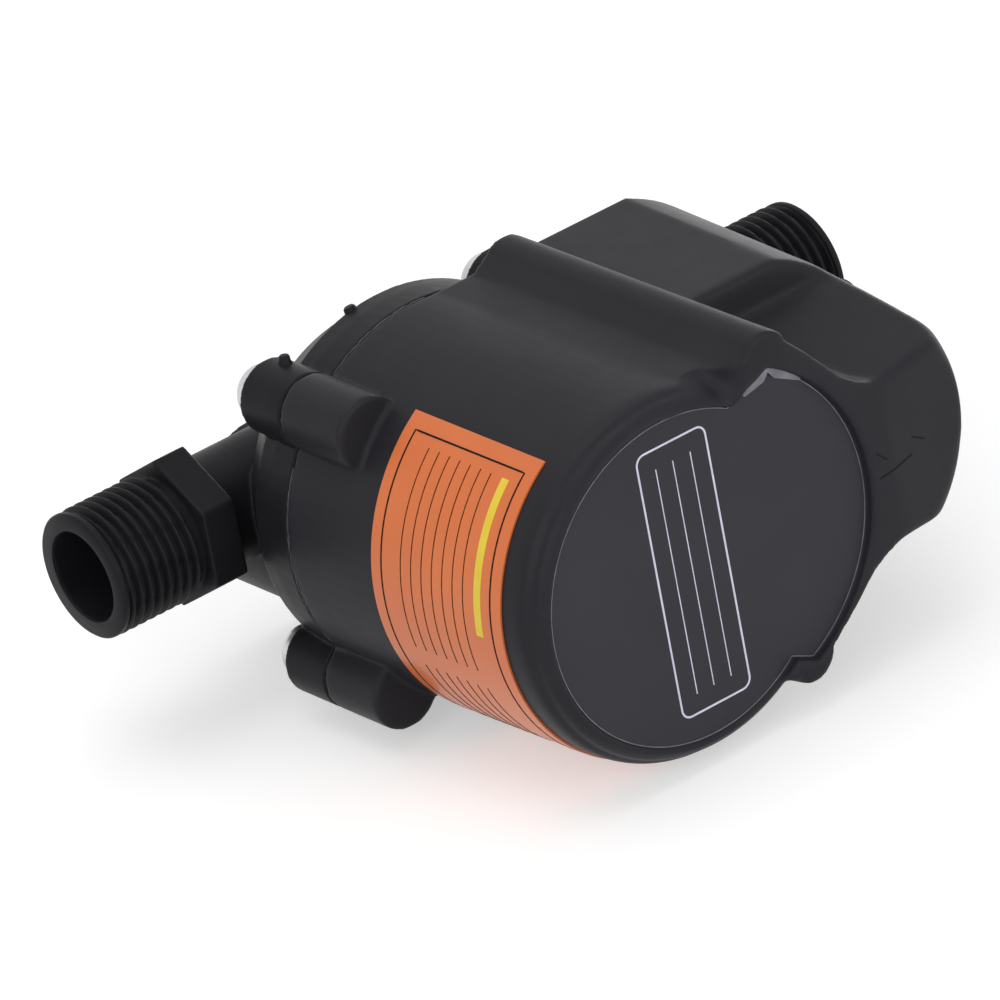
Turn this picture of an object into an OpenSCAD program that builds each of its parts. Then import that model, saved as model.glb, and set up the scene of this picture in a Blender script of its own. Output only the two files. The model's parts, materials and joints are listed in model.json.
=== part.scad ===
// In-line shower booster pump, lying on its side.
// The shapes are drawn about the motor axis, which runs along Y from the face
// of the motor housing (depth 0) to the back of the pump cover. X runs along
// the two pipe ports, inlet to outlet, and Z is up.
// The part's own origin is the centre of the inlet port's mouth.

/* [Ports] */
// Distance from the motor axis to the inlet mouth
inlet_reach = 52.3; // [50:0.1:70]
// Distance from the motor axis to the outlet mouth
outlet_reach = 81.3; // [76:0.1:100]
// Distance of the inlet axis behind the housing's seam
inlet_behind = 25.2; // [25.2:0.1:28]
// Distance of the outlet axis behind the housing's seam
outlet_behind = 11; // [11:0.1:12]
// Bore radius of both ports
port_bore_r = 7.5; // [6:0.1:7.8]
// Crest radius of the half-inch pipe thread
thread_r = 10.48; // [10.2:0.01:10.6]
// Length of the threaded stub
thread_len = 16.5; // [12:0.5:20]
// Width of the spanner hexagon across its flats
hex_flats = 21.8; // [21:0.1:24]
// Thickness of the spanner hexagon
hex_len = 6.2; // [4:0.1:8]
// Outer radius of the pipe necks behind the hexagons
neck_r = 9.2; // [9:0.1:10]

/* [Motor housing] */
// Length of the housing from its face to the seam
housing_len = 60; // [56:0.5:64]
// Outer radius of the motor shell at the seam
shell_r = 31; // [30:0.1:33]
// How much smaller the shell is at its front edge
shell_draft = 1.2; // [0.4:0.1:1.6]
// Radius of the rounded front edge of the shell
edge_r = 6.3; // [2:0.1:7]
// Wall of the shell and of the control box
wall = 2.4; // [1.8:0.1:3]

/* [Control box] */
// Height of the box's centre line above the port axes
box_rise = 5.5; // [3:0.1:6]
// Distance from the motor axis to the centre of the box's round end
box_end_x = 33; // [30:0.1:36]
// Radius of the box's round end at the seam
box_end_r = 26.8; // [26:0.1:28]
// How much the box's flat top cuts off its round end at the seam
box_flat = 1.6; // [0.8:0.1:2.8]
// How much lower the box's flat top is at its front
box_draft = 2; // [0.5:0.1:3]
// Height of the point midway between the shoulders above the port axes
shoulder_rise = 3.4; // [2:0.1:5]
// Distance from the motor axis to the crest of the shoulders at the seam
shoulder_x = 18.2; // [17:0.1:20]
// Half the height of the box over its shoulders at the seam
shoulder_half_h = 31; // [30:0.1:32]
// How much lower the shoulders are at their front
shoulder_draft = 1.8; // [0:0.1:3]
// How far the upper shoulder leans out towards the box at its front
upper_lean = 2; // [0:0.1:4]
// How far the lower shoulder leans out towards the box at its front
lower_lean = 0.5; // [0:0.1:4]
// Radius of the shoulder's rounded crest
shoulder_r = 4.5; // [3:0.1:6]
// Depth of the grip scoops behind the face
scoop_len = 23.5; // [15:0.5:26]
// Height of the nose's upper edge above the box's centre line
nose_top_h = 10.3; // [9:0.1:12]
// Depth of the nose's lower edge below the box's centre line
nose_bottom_h = 16.1; // [14:0.1:18]
// Radius of the round front edge of the box's end
nose_edge_r = 8; // [4:0.5:12]
// How far the nose falls back over its length
nose_fall = 3.4; // [1:0.1:7]

/* [Labels] */
// Width of the rounded rim round the face label
label_rim = 3.6; // [3:0.1:5.8]
// Depth of the face label's recess
label_recess = 2; // [1:0.1:3]
// Height of the lobe's centre line above the port axes
lobe_rise = 2; // [0:0.1:3]
// Radius of the lobe's end arc
lobe_r = 27.4; // [26:0.1:28]
// Distance from the motor axis to the centre of the lobe's arc
lobe_x = 7.5; // [6:0.1:9]
// Thickness of the label films
film_t = 0.3; // [0.2:0.05:0.4]
// Depth where the side label starts
side_label_start = 8.8; // [6:0.1:12]
// Width of the side label along the shell
side_label_w = 30.5; // [20:0.5:32]

/* [Pump cover] */
// Thickness of the cover's flange
flange_t = 5.5; // [4:0.1:6]
// How much smaller the volute's rim is than the shell
rim_in = 1; // [0.6:0.1:2]
// Distance of the volute's rim behind the seam
rim_behind = 10.4; // [8:0.1:10.6]
// How much smaller the volute is at its back than at its rim
volute_in = 5.1; // [4:0.1:5.4]
// Distance of the volute's back wall behind the seam
volute_behind = 19; // [18.5:0.1:20]
// Distance of the back of the suction chamber behind the seam
cover_behind = 38.5; // [35.2:0.1:39]
// Outer radius of the suction chamber about the motor axis
chamber_r = 11.8; // [11.6:0.1:13]
// Outer radius of the chamber's lower bulge
bulge_r = 13.7; // [12:0.1:15]
// Distance from the motor axis to the centre of the lower bulge
bulge_off = 12.5; // [8:0.1:12.5]
// Wall of the pump cover
cover_wall = 2.5; // [2:0.1:2.7]

/* [Screws] */
// How far the screws' circle lies outside the shell's radius
screw_out = 0.25; // [0:0.05:0.8]
// How much further out the two bottom screws sit
screw_spread = 1.4; // [0:0.1:1.5]
// Radius of the screw lugs
lug_r = 6; // [5.4:0.1:6.4]
// Length of the two upper lugs on the housing
lug_len = 15; // [12:0.5:20]
// Length of the two lower lugs on the housing
lower_lug_len = 13; // [12:0.5:20]
// Length of the lugs on the cover
cover_lug_len = 11; // [7:0.1:12]
// Radius of the screw's shank
screw_r = 1.9; // [1.5:0.1:2]
// Radius of the screw's pan head
head_r = 4.2; // [3.2:0.1:4.6]
// Height of the screw's pan head
head_h = 3.6; // [1.8:0.1:4]
// Length of the screw's shank
screw_len = 20; // [16:0.5:22]

/* [Motor] */
// Inner radius of the rotor can
can_r = 11; // [10.8:0.1:11.4]
// Wall of the rotor can
can_wall = 1; // [0.8:0.1:1.1]
// Distance from the can's closed end to the stator core
stack_lead = 6; // [4.5:0.5:7]
// Room behind the stator core for the coils and the hall board
coil_room = 16; // [14:0.5:20]
// Number of stator teeth
teeth = 6; // [3:3:9]
// Radius of the rotor magnet
magnet_r = 10.3; // [9.8:0.1:10.4]
// How far the rotor magnet stands past the stator core at each end
magnet_over = 1; // [-1:0.5:1]
// Radius of the ceramic shaft
shaft_r = 3; // [2.5:0.1:3.2]

/* [Impeller] */
// Height of the impeller's blades
blade_h = 6; // [5:0.1:6.4]
// Number of impeller blades
blades = 6; // [4:1:8]
// Thickness of a blade
blade_t = 1.3; // [0.8:0.1:1.8]
// Inner radius of the impeller's eye
eye_r = 6.7; // [6:0.1:6.9]

/* [Flow switch] */
// Radius of the float
float_r = 5.2; // [4.5:0.1:5.6]
// Length of the float
float_len = 10; // [8:0.5:11]
// Travel of the float
float_travel = 4.5; // [3:0.5:4.5]
// Radius of the float's guide pin
guide_r = 1.2; // [1:0.1:1.5]

/* [Hidden] */
$fn = 96;
// Overrun of every cut
cut = 1;
// Clearance between pieces that seat on each other
seat_gap = 0.1;
// Running clearance of the bushes and of the float
run_gap = 0.06;

// Depths behind the face
inlet_depth = housing_len + inlet_behind;
outlet_depth = housing_len + outlet_behind;
rim_depth = housing_len + rim_behind;
volute_back = housing_len + volute_behind;
cover_back = housing_len + cover_behind;
screw_seat = housing_len + cover_lug_len;
screw_off = (shell_r + screw_out) / sqrt(2);

// Control box and nose
lid_t = 2;
lid_ledge = 1.2;
box_mid_x = box_end_x - wall;
foot_x = 8.5;
foot_angle = 113.6;
lip_x_shares = [0, 0.19, 0.375, 0.51, 0.6875, 0.81, 1];
lip_h_shares = [1, 0.75, 0.48, 0.27, 0.11, 0.045, 0];
lip_start_x = 24;
lip_end_x = 41.8;
box_top_h = box_end_r - box_flat;
lip_top_h = box_top_h - 0.9;
lip_bottom_h = box_end_r - 0.2;
scoop_rise = 7.2;
box_end_draft = 1.7;
pocket_inset = wall + box_draft / 2;
pocket_start = scoop_len + wall;
pocket_w = box_end_x + box_end_r - pocket_inset - box_mid_x;

// Labels
label_r = shell_r - shell_draft - label_rim;
lobe_corner_x = 20;
lobe_corner_h = 24.4;
lobe_root_x = 12;
lobe_root_h = 20.8;
label_gap = 0.3;
side_label_from = 123.6;
side_label_to = 279;

// Pump cover
rim_r = shell_r - rim_in;
volute_r = rim_r - volute_in;
impeller_behind = 15.2;
impeller_back = housing_len + impeller_behind;
chamber_front = impeller_back + cover_wall;
chamber_back = inlet_depth + port_bore_r;
bulge_angle = 229.3;
eye_bore_r = 8.2;
throat_step = 0.3;
throat_r = port_bore_r - throat_step;
inlet_bore_len = 27;
outlet_bore_len = 27;
rim_edge = 1.2;
volute_gap = 1.9;
volute_shift = 1;
impeller_r = volute_r - cover_wall - volute_shift - volute_gap;

// Motor
face_gap = 7.6;
can_start = label_recess + wall + face_gap;
stator_r = shell_r - shell_draft - wall - 2 * seat_gap;
stack_start = can_start + stack_lead;
stack_len = housing_len - stack_start - coil_room;
can_flange_t = 2;
can_flange_r = stator_r - 2 * seat_gap;
socket_r = 5;
socket_len = 4;
shaft_start = can_start + can_wall;
shaft_tail = 5.3;
shaft_end = chamber_front + shaft_tail;
bush_r = 4.6;
bush_len = 8;
washer_r = 5;
washer_t = 0.8;
insulator_t = 1.2;
coil_t = 3.2;
tooth_w = 8;
yoke_t = 4.2;
tooth_tip_t = 2.2;
slot_opening = 2.4;
seal_r = 1;
arm_t = 2;

// Rotor
core_gap = 2.5;
core_start = can_start + can_wall + socket_len + core_gap;
hub_r = 6.2;
disc_gap = 1.8;
disc_start = housing_len + disc_gap;
disc_t = 1.8;
shroud_t = 1.4;
neck_t = 0.9;
magnet_start = stack_start - magnet_over;
magnet_len = stack_len + 2 * magnet_over;
blade_lead = 30;
blade_turn = 55;
blade_steps = 10;

// Flow switch
cage_start = 30;
cage_ring_len = 3;
cage_ring_t = 1;
float_wall = 1;
float_start = cage_start + cage_ring_len + seat_gap;
cage_end = float_start + float_len + float_travel + seat_gap;

// Control board
board_t = 1.6;
board_room = 8;
board_depth = housing_len - board_room;
board_gap = 0.6;
cap_r = 0.155 * pocket_w;
cap_len = 0.613 * (board_depth - pocket_start);
cap_pitch = 0.33 * pocket_w;
cap_row_h = 0.231 * box_end_r;
choke_r = 0.209 * pocket_w;
choke_wire_r = 0.07 * pocket_w;
chip_w = 0.155 * pocket_w;
chip_t = 1.4;
chip_pitch = 0.213 * pocket_w;
chip_row_h = 0.522 * box_end_r;
mcu_w = 0.217 * pocket_w;
block_w = 0.426 * pocket_w;
block_len = 9;
block_t = 0.232 * pocket_w;
lid_screw_h = 0.672 * box_end_r;
lid_screw_r = 1.2;
lid_head_r = 2.6;
lid_head_h = 1.4;

// Cable gland
gland_r = 5;
gland_len = 12;
gland_room = 16;
gland_depth = housing_len - gland_room;
gland_lead_r = 2.5;

function ring_points(cx, cy, r, from, to, n) =
    [for (i = [0 : n]) [cx + r * cos(from + (to - from) * i / n), cy + r * sin(from + (to - from) * i / n)]];
function shell_at(depth) = shell_r - shell_draft * (housing_len - depth) / (housing_len - edge_r);

module pump_frame() {
    translate([inlet_reach, -inlet_depth, 0]) children();
}
// A flat outline in X and Z, extruded between two depths
module prism(from, to) {
    translate([0, to, 0]) rotate([90, 0, 0]) linear_extrude(to - from) children();
}
// A profile of radius and depth, turned about the motor axis
module turned() {
    rotate([-90, 0, 0]) rotate_extrude() children();
}
// A profile of radius and reach, turned about a port's axis
module turned_along_x() {
    rotate([0, 90, 0]) rotate_extrude() children();
}
module rod_y(r, from, to) {
    translate([0, from, 0]) rotate([-90, 0, 0]) cylinder(h = to - from, r = r);
}
module rod_x(r, from, to) {
    translate([from, 0, 0]) rotate([0, 90, 0]) cylinder(h = to - from, r = r);
}
module at_screw_pair(side) {
    for (sx = [-1, 1])
        translate([sx * (screw_off + (side < 0 ? screw_spread : 0)), 0, side * screw_off]) children();
}
module at_screws() {
    for (side = [-1, 1]) at_screw_pair(side) children();
}

module shell_body() {
    front_r = shell_at(edge_r);
    turned() polygon(concat(
        [[0, housing_len], [0, 0], [front_r - edge_r, 0]],
        ring_points(front_r - edge_r, edge_r, edge_r, -90, 0, 8),
        [[shell_r, housing_len]]));
}
module box_outline(inset) {
    translate([0, box_rise]) intersection() {
        union() {
            translate([box_end_x, 0]) circle(box_end_r - inset);
            translate([0, -box_end_r]) square([box_end_x, box_end_r + box_top_h]);
        }
        translate([0, inset - box_end_r]) square([box_end_x + box_end_r, box_end_r + box_top_h - 2 * inset]);
    }
}
// A shoulder's section at the seam, drawn from the box's centre line up
module shoulder_outline() {
    crest_h = shoulder_half_h - shoulder_r;
    translate([0, crest_h]) circle(shoulder_r);
    polygon([[foot_x - shoulder_x, 0], [foot_x - shoulder_x, shell_r - wall - shoulder_rise],
        shoulder_r * [cos(foot_angle), sin(foot_angle)] + [0, crest_h], [0, crest_h], [0, 0]]);
}
// A shoulder, leaning down and outwards to its front
module shoulder(lean) {
    tilt = atan(shoulder_draft / housing_len);
    yaw = atan(lean / housing_len);
    intersection() {
        translate([shoulder_x, housing_len, 0]) rotate([tilt, 0, yaw])
            prism(-housing_len - shoulder_r, shoulder_r) shoulder_outline();
        cube([box_end_x, housing_len, shoulder_half_h + cut]);
    }
}
// Round end of the box with its rolled front edge
module box_end() {
    front_r = box_end_r - box_end_draft;
    translate([box_end_x, 0, box_rise]) turned() polygon(concat(
        [[0, housing_len], [0, 0], [front_r - nose_edge_r, 0]],
        ring_points(front_r - nose_edge_r, nose_edge_r, nose_edge_r, -90, 0, 10),
        [[box_end_r, housing_len]]));
}
module box_body() {
    far = box_end_x + box_end_r;
    intersection() {
        prism(0, housing_len) box_outline(0);
        union() {
            box_end();
            prism(0, housing_len) translate([0, box_rise - box_end_r])
                square([box_end_x, box_end_r + box_top_h]);
        }
        translate([0, 0, box_rise]) rotate([90, 0, 90]) linear_extrude(far) polygon([
            [0, -box_end_r], [housing_len, -box_end_r],
            [housing_len, box_top_h], [0, box_top_h - box_draft]]);
    }
    translate([0, 0, shoulder_rise]) shoulder(upper_lean);
    translate([0, 0, shoulder_rise]) mirror([0, 0, 1]) shoulder(lower_lean);
}
// Everything in front of a scoop's sloping floor and to the right of the lip
module scoop_cut(lip_h, nose_h) {
    far = box_end_x + box_end_r + cut;
    top = shoulder_half_h + cut;
    drop = lip_h - nose_h;
    floor_end = nose_h + scoop_rise;
    intersection() {
        prism(-cut, scoop_len) polygon(concat(
            [for (i = [0 : len(lip_x_shares) - 1])
                [lip_start_x + (lip_end_x - lip_start_x) * lip_x_shares[i], nose_h + drop * lip_h_shares[i]]],
            [[far, nose_h], [far, top], [lip_start_x, top]]));
        rotate([90, 0, 90]) linear_extrude(far)
            polygon([[-cut, nose_h], [0, nose_h], [scoop_len, floor_end], [scoop_len, top], [-cut, top]]);
    }
}
// The sloping front of the nose
module nose_cut() {
    run = box_end_x + box_end_r - lip_end_x;
    prism_h = 2 * (box_end_r + cut);
    translate([0, 0, box_rise - prism_h / 2]) linear_extrude(prism_h)
        polygon([[lip_end_x - 2 * cut, -cut], [lip_end_x - 2 * cut, 0], [lip_end_x + run, nose_fall],
            [lip_end_x + run + cut, nose_fall], [lip_end_x + run + cut, -cut]]);
}
module label_outline(gap) {
    circle(label_r + gap);
    translate([0, lobe_rise]) intersection() {
        translate([lobe_x, 0]) circle(lobe_r + gap);
        polygon([[0, 0], [lobe_root_x, lobe_root_h], [lobe_corner_x, lobe_corner_h + gap],
            [lobe_x + lobe_r + cut, lobe_corner_h + gap], [lobe_x + lobe_r + cut, -lobe_corner_h - gap],
            [lobe_corner_x, -lobe_corner_h - gap], [lobe_root_x, -lobe_root_h]]);
    }
}
module box_pocket() {
    intersection() {
        prism(pocket_start, housing_len + cut) box_outline(pocket_inset);
        translate([box_mid_x, 0, -box_end_r])
            cube([box_end_r + box_end_x, housing_len + cut, 2 * box_end_r + box_rise]);
    }
}

module motor_housing() color([0.16, 0.16, 0.17]) pump_frame() {
    difference() {
        union() {
            shell_body();
            box_body();
            at_screw_pair(1) rod_y(lug_r, housing_len - lug_len, housing_len);
            at_screw_pair(-1) rod_y(lug_r, housing_len - lower_lug_len, housing_len);
        }
        translate([0, 0, box_rise]) scoop_cut(lip_top_h, nose_top_h);
        translate([0, 0, box_rise]) mirror([0, 0, 1]) scoop_cut(lip_bottom_h, nose_bottom_h);
        nose_cut();
        prism(-cut, label_recess) label_outline(label_gap);
        rod_y(stator_r + seat_gap, label_recess + wall, housing_len + cut);
        box_pocket();
        prism(housing_len - lid_t, housing_len + cut) intersection() {
            box_outline(lid_ledge);
            translate([box_mid_x - lid_ledge, -box_end_r])
                square([box_end_x + box_end_r, 2 * box_end_r + box_rise]);
        }
        // Way for the coil leads
        translate([stator_r - wall, board_depth - 2 * wall, box_rise])
            cube([2 * wall + lid_t, 2 * wall, 2 * wall]);
        at_screws() rod_y(screw_r, screw_seat - screw_len, housing_len + cut);
        gland_seat();
    }
}

module face_label() color([0.24, 0.24, 0.25]) pump_frame() {
    prism(label_recess - film_t, label_recess) label_outline(0);
}

module side_label() color([0.9, 0.5, 0.28]) pump_frame() {
    end = side_label_start + side_label_w;
    rotate([-90, 0, 0]) rotate([0, 0, -side_label_to]) rotate_extrude(angle = side_label_to - side_label_from)
        polygon([[shell_at(side_label_start), side_label_start],
            [shell_at(side_label_start) + film_t, side_label_start],
            [shell_at(end) + film_t, end], [shell_at(end), end]]);
}

// A port along +X from the pump body to its mouth
module port_outside(from, reach) {
    hex_end = reach - thread_len;
    rod_x(neck_r, from, hex_end - hex_len / 2);
    translate([hex_end - hex_len, 0, 0]) rotate([0, 90, 0])
        cylinder(h = hex_len, r = hex_flats / sqrt(3), $fn = 6);
    rod_x(thread_r, hex_end - hex_len / 2, reach);
}
module port_bore(from, reach, bore_len) {
    rod_x(port_bore_r, reach - bore_len, reach + cut);
    rod_x(throat_r, from, reach - bore_len + cut);
}
module at_inlet() {
    translate([0, inlet_depth, 0]) mirror([1, 0, 0]) children();
}
module at_outlet() {
    translate([0, outlet_depth, 0]) children();
}
// Round volute, set over towards the outlet
module volute_outline() {
    translate([volute_shift, 0]) circle(impeller_r + volute_gap);
}
module bulge_outline(inset) {
    translate(bulge_off * [cos(bulge_angle), sin(bulge_angle)]) circle(bulge_r - inset);
}
module cover_outside() {
    flange_end = housing_len + flange_t;
    turned() polygon([[0, housing_len], [shell_r, housing_len], [(shell_r + rim_r) / 2, flange_end],
        [rim_r, rim_depth - rim_edge], [rim_r - rim_edge, rim_depth], [volute_r, volute_back - 2 * rim_edge],
        [volute_r - rim_edge, volute_back - rim_edge / 2], [volute_r - 2 * rim_edge, volute_back],
        [0, volute_back]]);
    rod_y(chamber_r, volute_back - cut, chamber_back + cover_wall);
    prism(volute_back - cut, cover_back) bulge_outline(0);
    at_screws() rod_y(lug_r, housing_len, screw_seat);
}

module pump_cover() color([0.13, 0.13, 0.14]) pump_frame() {
    difference() {
        union() {
            cover_outside();
            at_inlet() port_outside(0, inlet_reach);
            at_outlet() port_outside(0, outlet_reach);
        }
        prism(housing_len - cut, impeller_back) volute_outline();
        rod_y(eye_bore_r, impeller_back - cut, chamber_front + cut);
        rod_y(chamber_r - cover_wall, chamber_front, chamber_back);
        prism(chamber_front, cover_back - cover_wall) bulge_outline(cover_wall);
        at_inlet() port_bore(0, inlet_reach, inlet_bore_len);
        at_outlet() port_bore(impeller_r, outlet_reach, outlet_bore_len);
        turned() translate([can_flange_r - 2 * seal_r, housing_len]) circle(seal_r);
        at_screws() rod_y(screw_r + seat_gap, housing_len - cut, screw_seat + cut);
        // Room for the screw heads in the volute's slope
        at_screws() rod_y(head_r + 3 * seat_gap, screw_seat, volute_back);
    }
}

module cover_screws() color("silver") pump_frame() {
    shank_r = screw_r - seat_gap;
    at_screws() turned() polygon(concat(
        [[0, screw_seat - screw_len], [shank_r, screw_seat - screw_len], [shank_r, screw_seat],
            [head_r, screw_seat]],
        ring_points(head_r - head_h, screw_seat, head_h, 0, 90, 6),
        [[0, screw_seat + head_h]]));
}

module cover_seal() color([0.1, 0.1, 0.1]) pump_frame() {
    turned() translate([can_flange_r - 2 * seal_r, housing_len + seat_gap / 2]) intersection() {
        circle(seal_r - seat_gap);
        translate([-seal_r, 0]) square(2 * seal_r);
    }
}

module rotor_can() color([0.75, 0.72, 0.62]) pump_frame() {
    out_r = can_r + can_wall;
    difference() {
        union() {
            rod_y(out_r, can_start, housing_len);
            rod_y(can_flange_r, housing_len - can_flange_t, housing_len);
        }
        rod_y(can_r, can_start + can_wall + socket_len, housing_len + cut);
        difference() {
            rod_y(can_r, can_start + can_wall, can_start + can_wall + socket_len + cut);
            rod_y(socket_r, can_start, can_start + can_wall + socket_len);
        }
        rod_y(shaft_r, shaft_start, can_start + can_wall + socket_len + 2 * cut);
    }
}

module slot_outline(grow) {
    // Open space between two teeth
    slot_r = stator_r - yoke_t;
    inner_r = can_r + can_wall + tooth_tip_t;
    difference() {
        circle(slot_r + grow);
        circle(inner_r - grow);
        for (i = [0 : teeth - 1]) rotate(360 * i / teeth)
            translate([0, grow - tooth_w / 2]) square([stator_r, tooth_w - 2 * grow]);
    }
}
module tooth_gaps() {
    for (i = [0 : teeth - 1]) rotate(360 * (i + 0.5) / teeth)
        translate([0, -slot_opening / 2]) square([stator_r - yoke_t, slot_opening]);
}
module stator_core() color([0.55, 0.56, 0.58]) pump_frame() {
    prism(stack_start, stack_start + stack_len) difference() {
        circle(stator_r);
        circle(can_r + can_wall + seat_gap);
        slot_outline(0);
        tooth_gaps();
    }
}

module insulator_outline() {
    difference() {
        circle(stator_r - yoke_t / 2);
        circle(can_r + can_wall + 2 * seat_gap);
        slot_outline(-seat_gap);
        tooth_gaps();
    }
}
module stator_insulators() color([0.9, 0.88, 0.82]) pump_frame() {
    prism(stack_start - insulator_t, stack_start) insulator_outline();
    prism(stack_start + stack_len, stack_start + stack_len + insulator_t) insulator_outline();
}

module stator_coils() color([0.72, 0.4, 0.18]) pump_frame() {
    gap = 2 * seat_gap;
    inner = can_r + can_wall + tooth_tip_t + gap;
    hole_w = tooth_w + 2 * gap;
    half_w = (hole_w + coil_t) / 2;
    coil_w = sqrt(pow(stator_r - yoke_t - gap, 2) - half_w * half_w) - inner;
    hole_l = stack_len + 2 * insulator_t + gap;
    middle = stack_start + stack_len / 2;
    for (i = [0 : teeth - 1]) rotate([0, 360 * i / teeth, 0]) translate([inner, middle, 0]) rotate([0, 90, 0])
        linear_extrude(coil_w) difference() {
            square([hole_w + coil_t, hole_l + 2 * coil_t], center = true);
            square([hole_w, hole_l], center = true);
        }
}

module rotor_shaft() color([0.95, 0.95, 0.93]) pump_frame() {
    rod_y(shaft_r - seat_gap / 2, shaft_start, shaft_end);
}

module shaft_holder() color([0.2, 0.2, 0.22]) pump_frame() {
    ring_r = chamber_r - cover_wall - 2 * seat_gap;
    difference() {
        union() {
            difference() {
                rod_y(ring_r, chamber_front, chamber_front + arm_t);
                rod_y(eye_r, chamber_front - cut, chamber_front + arm_t + cut);
            }
            rod_y(bush_r, chamber_front, shaft_end + washer_t);
            for (i = [0 : 2]) rotate([0, 120 * i, 0])
                translate([0, chamber_front, -arm_t / 2]) cube([ring_r - arm_t / 2, arm_t, arm_t]);
        }
        rod_y(shaft_r, chamber_front - cut, shaft_end);
    }
}

module washer(depth) {
    difference() {
        rod_y(washer_r, depth, depth + washer_t);
        rod_y(shaft_r + seat_gap, depth - cut, depth + washer_t + cut);
    }
}
module front_thrust_washer() color([0.85, 0.85, 0.8]) pump_frame() {
    washer(can_start + can_wall + socket_len);
}
module rear_thrust_washer() color([0.85, 0.85, 0.8]) pump_frame() {
    washer(chamber_front - washer_t);
}

module hall_board() color([0.1, 0.4, 0.2]) pump_frame() {
    from = stack_start + stack_len + insulator_t + coil_t + 2 * seat_gap;
    difference() {
        rod_y(stator_r - yoke_t, from, from + board_t);
        rod_y(can_r + can_wall + seat_gap, from - cut, from + board_t + cut);
    }
}

module control_board() color([0.1, 0.42, 0.22]) pump_frame() {
    intersection() {
        prism(board_depth, board_depth + board_t) box_outline(pocket_inset + board_gap);
        translate([box_mid_x + board_gap, 0, -box_end_r])
            cube([2 * box_end_r, housing_len, 2 * box_end_r + box_rise]);
    }
}
module capacitors() color([0.15, 0.15, 0.3]) pump_frame() {
    for (i = [0, 1]) translate([box_mid_x + cap_r + 2 * board_gap + cap_pitch * i, 0, box_rise + cap_row_h])
        rod_y(cap_r, board_depth - cap_len, board_depth);
}
module choke_coil() color([0.75, 0.42, 0.2]) pump_frame() {
    translate([box_mid_x + choke_r + 2 * board_gap, board_depth - choke_wire_r, box_rise - choke_r])
        turned() translate([choke_r - choke_wire_r, 0]) circle(choke_wire_r);
}
module power_transistors() color([0.12, 0.12, 0.12]) pump_frame() {
    for (i = [0 : 2], side = [-1, 1])
        translate([box_mid_x + 2 * board_gap + chip_pitch * i, board_depth - chip_t,
            box_rise + side * chip_row_h - chip_w / 2])
            cube([chip_w, chip_t, chip_w]);
}
module control_chip() color([0.1, 0.1, 0.1]) pump_frame() {
    translate([box_mid_x + 2 * choke_r + 3 * board_gap, board_depth - chip_t,
        box_rise - block_w / 2 - board_gap - mcu_w])
        cube([mcu_w, chip_t, mcu_w]);
}
module terminal_block() color([0.85, 0.85, 0.8]) pump_frame() {
    translate([box_end_x + box_end_r - pocket_inset - 2 * board_gap - block_t, board_depth - block_len,
        box_rise - block_w / 2])
        cube([block_t, block_len, block_w]);
}
module flow_sensor() color([0.1, 0.1, 0.1]) pump_frame() {
    translate([float_start + float_len / 2, board_depth + board_t, -chip_w / 2])
        cube([chip_w, chip_t, chip_w]);
}

module lid_outline(gap) {
    intersection() {
        box_outline(lid_ledge + gap);
        translate([box_mid_x - lid_ledge + gap, -box_end_r])
            square([box_end_x + box_end_r, 2 * box_end_r + box_rise]);
    }
}
module at_lid_screws() {
    for (side = [-1, 1]) translate([box_end_x, 0, box_rise + side * lid_screw_h]) children();
}
module box_lid() color([0.15, 0.15, 0.16]) pump_frame() {
    difference() {
        prism(housing_len - lid_t, housing_len) lid_outline(seat_gap);
        at_lid_screws() rod_y(lid_screw_r + seat_gap, housing_len - lid_t - cut, housing_len + cut);
        at_lid_screws() rod_y(lid_head_r + seat_gap, housing_len - lid_head_h, housing_len + cut);
    }
}
module lid_screws() color("silver") pump_frame() {
    at_lid_screws() {
        rod_y(lid_screw_r, board_depth + board_t, housing_len - lid_head_h / 2);
        rod_y(lid_head_r, housing_len - lid_head_h, housing_len - seat_gap);
    }
}

module gland_seat() {
    translate([0, gland_depth, box_rise]) rod_x(gland_r - wall / 2, box_end_x, box_end_x + box_end_r + cut);
}
module cable_gland() color([0.1, 0.1, 0.1]) pump_frame() {
    start = box_end_x + box_end_r - wall;
    translate([0, gland_depth, box_rise]) difference() {
        union() {
            rod_x(gland_r - wall / 2 - seat_gap, start, start + gland_len / 2);
            rod_x(gland_r, start + wall + seat_gap, start + gland_len);
        }
        rod_x(gland_lead_r, start + wall, start + gland_len + cut);
    }
}

module cage_ring(from) {
    difference() {
        rod_x(throat_r - seat_gap, from, from + cage_ring_len);
        rod_x(throat_r - seat_gap - cage_ring_t, from - cut, from + cage_ring_len + cut);
    }
    for (i = [0 : 2]) rotate([120 * i, 0, 0]) translate([from, -cage_ring_t / 2, 0])
        cube([cage_ring_len, cage_ring_t, throat_r - cage_ring_t]);
}
module float_cage() color([0.92, 0.92, 0.9]) pump_frame() at_outlet() {
    cage_ring(cage_start);
    cage_ring(cage_end);
    rod_x(guide_r, cage_start, cage_end + cage_ring_len);
}
module flow_float() color([0.2, 0.45, 0.8]) pump_frame() at_outlet() {
    difference() {
        rod_x(float_r, float_start, float_start + float_len);
        rod_x(guide_r + run_gap, float_start - cut, float_start + float_len + cut);
        float_pocket();
    }
}
module float_pocket() {
    inset = float_len / 4;
    translate([float_start + inset, 0, 0]) turned_along_x()
        translate([guide_r + float_wall, 0])
            square([float_r - guide_r - 2 * float_wall, float_len - inset - float_wall]);
}
module float_magnet() color([0.4, 0.4, 0.42]) pump_frame() at_outlet() {
    inset = float_len / 4 + seat_gap;
    side = float_wall + seat_gap;
    translate([float_start + inset, 0, 0]) turned_along_x()
        translate([guide_r + side, 0]) square([float_r - guide_r - 2 * side, float_len - inset - side]);
}

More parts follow.
